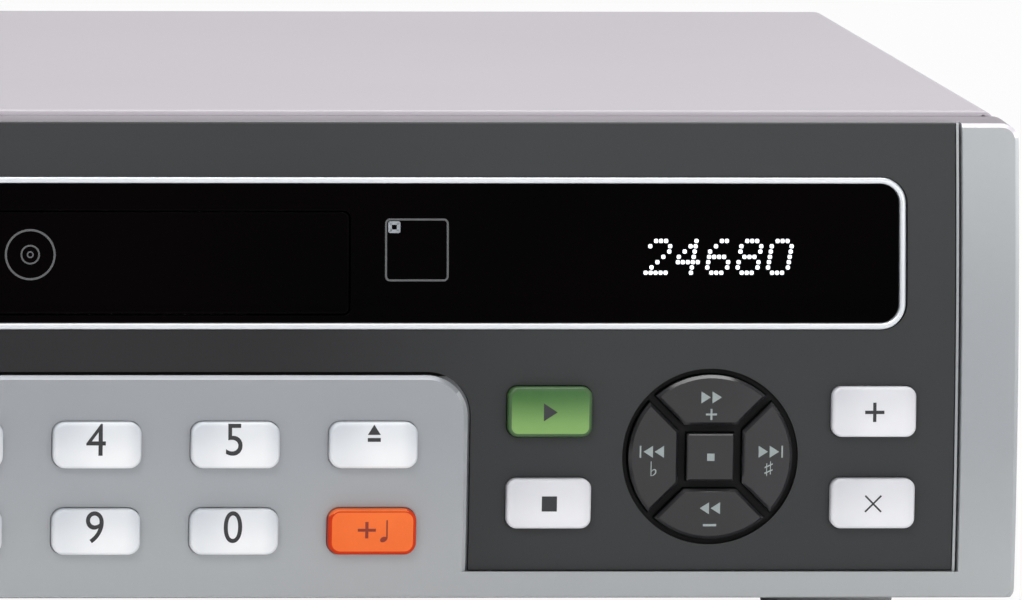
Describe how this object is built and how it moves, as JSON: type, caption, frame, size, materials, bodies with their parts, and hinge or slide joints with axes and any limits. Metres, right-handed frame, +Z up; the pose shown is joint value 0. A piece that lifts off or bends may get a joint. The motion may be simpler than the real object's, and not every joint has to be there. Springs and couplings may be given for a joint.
{
  "type": "karaoke disc player",
  "caption": "Desktop karaoke machine with a bulged front, sliding disc tray behind a long dark window, raised number keypad, round navigation keys, knobs and microphone sockets.",
  "frame": {"origin": "on the ground, under the middle of the machine's overall width and depth", "axes": "+X to the right seen from the front, +Y to the rear, +Z up"},
  "size_m": [0.43, 0.3194, 0.1122],
  "materials": {
    "silver_plastic": "satin metallic paint on moulded plastic",
    "dark_grey_plastic": "satin dark grey",
    "window_black": "polished, nearly opaque",
    "bright_trim": "polished",
    "key_white": "satin",
    "key_green": "satin",
    "key_orange": "satin",
    "knob_silver": "turned",
    "cover_paint": "fine-textured paint",
    "zinc_sheet": "zinc-plated",
    "screw_steel": "plated",
    "foot_rubber": "matt",
    "jack_nickel": "nickel-plated",
    "black_plastic": "moulded",
    "tray_plastic": "fine-textured",
    "gear_acetal": "natural acetal",
    "belt_rubber": "matt",
    "motor_steel": "plated",
    "board_laminate": "solder mask"
  },
  "bodies": {
    "root": {"front_bezel": "silver_plastic", "fascia": "dark_grey_plastic", "window_trim": "bright_trim", "window_lens": "window_black", "key_board": "board_laminate", "display_module": "board_laminate", "mic_board": "board_laminate", "mic_jacks": "jack_nickel", "top_cover": "cover_paint", "chassis_base": "zinc_sheet", "rear_panel": "zinc_sheet", "screws": "screw_steel", "feet": "foot_rubber", "rca_jacks": "jack_nickel", "mains_inlet": "black_plastic", "main_board": "board_laminate", "power_board": "board_laminate", "loader_frame": "black_plastic", "clamp_bridge": "zinc_sheet", "load_belt": "belt_rubber", "load_motor": "motor_steel"},
    "tray": {"disc_tray": "tray_plastic", "tray_door": "window_black"},
    "deck": {"lift_frame": "black_plastic", "deck_dampers": "belt_rubber", "deck_plate": "zinc_sheet", "spindle_motor": "motor_steel"},
    "lift_cam": {"lift_cam": "gear_acetal"},
    "spindle": {"turntable": "black_plastic"},
    "pickup": {"pickup_unit": "black_plastic"},
    "feed_gear": {"feed_gear": "gear_acetal"},
    "clamp": {"clamp_puck": "black_plastic"},
    "tray_gear": {"tray_gear": "gear_acetal"},
    "pulley_gear": {"pulley_gear": "gear_acetal"},
    "motor_pulley": {"motor_pulley": "gear_acetal"},
    "number_key_1": {"number_key_1": "key_white"},
    "number_key_2": {"number_key_2": "key_white"},
    "number_key_3": {"number_key_3": "key_white"},
    "number_key_4": {"number_key_4": "key_white"},
    "number_key_5": {"number_key_5": "key_white"},
    "number_key_6": {"number_key_6": "key_white"},
    "number_key_7": {"number_key_7": "key_white"},
    "number_key_8": {"number_key_8": "key_white"},
    "number_key_9": {"number_key_9": "key_white"},
    "number_key_0": {"number_key_0": "key_white"},
    "eject_key": {"eject_key": "key_white"},
    "new_song_key": {"new_song_key": "key_orange"},
    "start_key": {"start_key": "key_green"},
    "stop_key": {"stop_key": "key_white"},
    "reserve_key": {"reserve_key": "key_white"},
    "cancel_key": {"cancel_key": "key_white"},
    "power_key": {"power_key": "key_white"},
    "arc_key_up": {"arc_key_up": "dark_grey_plastic"},
    "arc_key_down": {"arc_key_down": "dark_grey_plastic"},
    "arc_key_left": {"arc_key_left": "dark_grey_plastic"},
    "arc_key_right": {"arc_key_right": "dark_grey_plastic"},
    "enter_key": {"enter_key": "dark_grey_plastic"},
    "knob_1": {"knob_1": "knob_silver"},
    "knob_2": {"knob_2": "knob_silver"},
    "knob_3": {"knob_3": "knob_silver"}
  },
  "joints": [
    {"name": "tray_slide", "type": "slide", "parent": "root", "child": "tray", "axis": [0, -1, 0], "range_m": [0, 0.132]},
    {"name": "tray_gear_turn", "type": "hinge", "parent": "root", "child": "tray_gear", "pos_m": [0.03875, -0.11225, 0.068], "axis": [0, 0, -1], "range_deg": [-1, 673.3]},
    {"name": "pulley_gear_turn", "type": "hinge", "parent": "root", "child": "pulley_gear", "pos_m": [0.01812, -0.11225, 0.066], "axis": [0, 0, 1], "range_deg": [-1, 807.7]},
    {"name": "motor_pulley_turn", "type": "hinge", "parent": "root", "child": "motor_pulley", "pos_m": [-0.02, -0.11225, 0.063], "axis": [0, 0, 1], "range_deg": [-1, 2582.5]},
    {"name": "deck_lift", "type": "hinge", "parent": "root", "child": "deck", "pos_m": [0, 0.02875, 0.0625], "axis": [1, 0, 0], "range_deg": [0, 3]},
    {"name": "lift_cam_slide", "type": "slide", "parent": "root", "child": "lift_cam", "axis": [-1, 0, 0], "range_m": [0, 0.0161]},
    {"name": "spindle_turn", "type": "hinge", "parent": "deck", "child": "spindle", "pos_m": [0, -0.07625, 0.08], "axis": [0, 0, 1], "continuous": true},
    {"name": "clamp_turn", "type": "hinge", "parent": "root", "child": "clamp", "pos_m": [0, -0.07625, 0.095], "axis": [0, 0, 1], "continuous": true},
    {"name": "pickup_slide", "type": "slide", "parent": "deck", "child": "pickup", "axis": [0, 1, 0], "range_m": [0, 0.035]},
    {"name": "feed_gear_turn", "type": "hinge", "parent": "deck", "child": "feed_gear", "pos_m": [0.0312, -0.03475, 0.069], "axis": [0, 0, -1], "range_deg": [-1, 279.5]},
    {"name": "number_key_1_press", "type": "slide", "parent": "root", "child": "number_key_1", "axis": [0, 1, 0], "range_m": [0, 0.0008], "stiffness_N_per_m": 400},
    {"name": "number_key_2_press", "type": "slide", "parent": "root", "child": "number_key_2", "axis": [0, 1, 0], "range_m": [0, 0.0008], "stiffness_N_per_m": 400},
    {"name": "number_key_3_press", "type": "slide", "parent": "root", "child": "number_key_3", "axis": [0, 1, 0], "range_m": [0, 0.0008], "stiffness_N_per_m": 400},
    {"name": "number_key_4_press", "type": "slide", "parent": "root", "child": "number_key_4", "axis": [0, 1, 0], "range_m": [0, 0.0008], "stiffness_N_per_m": 400},
    {"name": "number_key_5_press", "type": "slide", "parent": "root", "child": "number_key_5", "axis": [0, 1, 0], "range_m": [0, 0.0008], "stiffness_N_per_m": 400},
    {"name": "number_key_6_press", "type": "slide", "parent": "root", "child": "number_key_6", "axis": [0, 1, 0], "range_m": [0, 0.0008], "stiffness_N_per_m": 400},
    {"name": "number_key_7_press", "type": "slide", "parent": "root", "child": "number_key_7", "axis": [0, 1, 0], "range_m": [0, 0.0008], "stiffness_N_per_m": 400},
    {"name": "number_key_8_press", "type": "slide", "parent": "root", "child": "number_key_8", "axis": [0, 1, 0], "range_m": [0, 0.0008], "stiffness_N_per_m": 400},
    {"name": "number_key_9_press", "type": "slide", "parent": "root", "child": "number_key_9", "axis": [0, 1, 0], "range_m": [0, 0.0008], "stiffness_N_per_m": 400},
    {"name": "number_key_0_press", "type": "slide", "parent": "root", "child": "number_key_0", "axis": [0, 1, 0], "range_m": [0, 0.0008], "stiffness_N_per_m": 400},
    {"name": "eject_key_press", "type": "slide", "parent": "root", "child": "eject_key", "axis": [0, 1, 0], "range_m": [0, 0.0008], "stiffness_N_per_m": 400},
    {"name": "new_song_key_press", "type": "slide", "parent": "root", "child": "new_song_key", "axis": [0, 1, 0], "range_m": [0, 0.0008], "stiffness_N_per_m": 400},
    {"name": "start_key_press", "type": "slide", "parent": "root", "child": "start_key", "axis": [0, 1, 0], "range_m": [0, 0.0008], "stiffness_N_per_m": 400},
    {"name": "stop_key_press", "type": "slide", "parent": "root", "child": "stop_key", "axis": [0, 1, 0], "range_m": [0, 0.0008], "stiffness_N_per_m": 400},
    {"name": "reserve_key_press", "type": "slide", "parent": "root", "child": "reserve_key", "axis": [0, 1, 0], "range_m": [0, 0.0008], "stiffness_N_per_m": 400},
    {"name": "cancel_key_press", "type": "slide", "parent": "root", "child": "cancel_key", "axis": [0, 1, 0], "range_m": [0, 0.0008], "stiffness_N_per_m": 400},
    {"name": "power_key_press", "type": "slide", "parent": "root", "child": "power_key", "axis": [0, 1, 0], "range_m": [0, 0.0008], "stiffness_N_per_m": 400},
    {"name": "arc_key_up_press", "type": "slide", "parent": "root", "child": "arc_key_up", "axis": [0, 1, 0], "range_m": [0, 0.0008], "stiffness_N_per_m": 400},
    {"name": "arc_key_down_press", "type": "slide", "parent": "root", "child": "arc_key_down", "axis": [0, 1, 0], "range_m": [0, 0.0008], "stiffness_N_per_m": 400},
    {"name": "arc_key_left_press", "type": "slide", "parent": "root", "child": "arc_key_left", "axis": [0, 1, 0], "range_m": [0, 0.0008], "stiffness_N_per_m": 400},
    {"name": "arc_key_right_press", "type": "slide", "parent": "root", "child": "arc_key_right", "axis": [0, 1, 0], "range_m": [0, 0.0008], "stiffness_N_per_m": 400},
    {"name": "enter_key_press", "type": "slide", "parent": "root", "child": "enter_key", "axis": [0, 1, 0], "range_m": [0, 0.0008], "stiffness_N_per_m": 400},
    {"name": "knob_1_turn", "type": "hinge", "parent": "root", "child": "knob_1", "pos_m": [-0.16, -0.14825, 0.046], "axis": [0, 1, 0], "range_deg": [-150, 150]},
    {"name": "knob_2_turn", "type": "hinge", "parent": "root", "child": "knob_2", "pos_m": [-0.136, -0.14825, 0.046], "axis": [0, 1, 0], "range_deg": [-150, 150]},
    {"name": "knob_3_turn", "type": "hinge", "parent": "root", "child": "knob_3", "pos_m": [-0.112, -0.14825, 0.046], "axis": [0, 1, 0], "range_deg": [-150, 150]}
  ],
  "couplings": [
    {"joint": "tray_gear_turn", "follows": "tray_slide", "rad_per_m": 88.889},
    {"joint": "pulley_gear_turn", "follows": "tray_slide", "rad_per_m": 106.67},
    {"joint": "motor_pulley_turn", "follows": "tray_slide", "rad_per_m": 341.33},
    {"joint": "lift_cam_slide", "follows": "deck_lift", "m_per_rad": 0.30558},
    {"joint": "clamp_turn", "follows": "spindle_turn", "ratio": 1},
    {"joint": "feed_gear_turn", "follows": "pickup_slide", "rad_per_m": 138.89}
  ]
}
